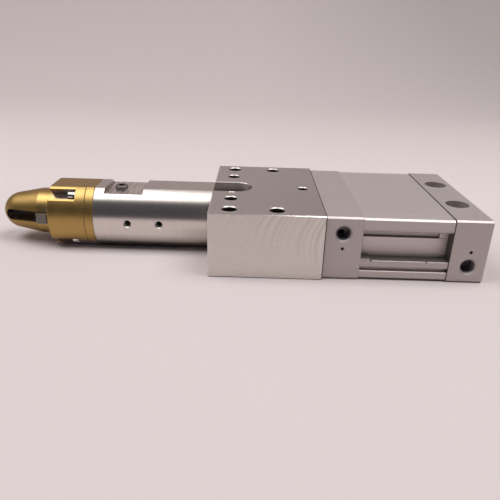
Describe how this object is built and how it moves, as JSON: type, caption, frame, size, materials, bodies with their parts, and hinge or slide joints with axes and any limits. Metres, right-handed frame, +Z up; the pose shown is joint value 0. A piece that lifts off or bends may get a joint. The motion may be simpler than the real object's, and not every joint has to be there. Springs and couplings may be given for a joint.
{
  "type": "pin clamp cylinder",
  "caption": "Pin clamp cylinder: a slotted locating nose with a hook arm on a round neck, carried by a guide block and driven by a flat air cylinder with an oval piston.",
  "frame": {"origin": "centre of the four mounting holes of the guide block, on its underside", "axes": "+X along the rod axis from the nose to the head cover, +Z up out of the block's top, the air ports face -Y"},
  "size_m": [0.3045, 0.108, 0.04],
  "materials": {
    "milled_aluminium": "face milled",
    "turned_aluminium": "fine turned",
    "anodised_aluminium": "clear anodised satin",
    "gold_coated_steel": "gold nitride coating, satin",
    "hardened_steel": "ground",
    "ground_steel": "hard chromed",
    "screw_steel": "bright",
    "nitrile_rubber": "moulded",
    "bearing_bronze": "machined",
    "wear_resin": "moulded",
    "bonded_magnet": "moulded"
  },
  "bodies": {
    "housing": {"guide_block": "milled_aluminium", "neck": "turned_aluminium", "rod_cover": "anodised_aluminium", "cylinder_tube": "anodised_aluminium", "head_cover": "anodised_aluminium", "switch_spacers": "anodised_aluminium", "locating_nose": "gold_coated_steel", "seat_ring": "gold_coated_steel", "spacer_ring": "gold_coated_steel", "cam_pin": "hardened_steel", "nose_dowel": "hardened_steel", "seat_screws": "screw_steel", "lock_washers": "screw_steel", "neck_screws": "screw_steel", "tie_bolts": "screw_steel", "seal_retainer": "screw_steel", "rod_seal": "nitrile_rubber", "tube_gaskets": "nitrile_rubber", "rod_bumper": "nitrile_rubber", "head_bumper": "nitrile_rubber", "block_bush": "bearing_bronze", "rod_bush": "bearing_bronze"},
    "rod": {"piston": "anodised_aluminium", "piston_seal": "nitrile_rubber", "wear_ring": "wear_resin", "magnet": "bonded_magnet", "piston_rod": "ground_steel", "piston_nut": "screw_steel", "pivot_pin": "hardened_steel"},
    "arm": {"clamp_arm": "hardened_steel"}
  },
  "joints": [
    {"name": "rod_slide", "type": "slide", "parent": "housing", "child": "rod", "axis": [-1, 0, 0], "range_m": [0, 0.015]},
    {"name": "arm_swing", "type": "hinge", "parent": "rod", "child": "arm", "pos_m": [-0.056, 0, 0.01975], "axis": [0, 0, -1], "range_deg": [0, 6]}
  ],
  "couplings": [
    {"joint": "arm_swing", "follows": "rod_slide", "rad_per_m": 6.9813}
  ]
}
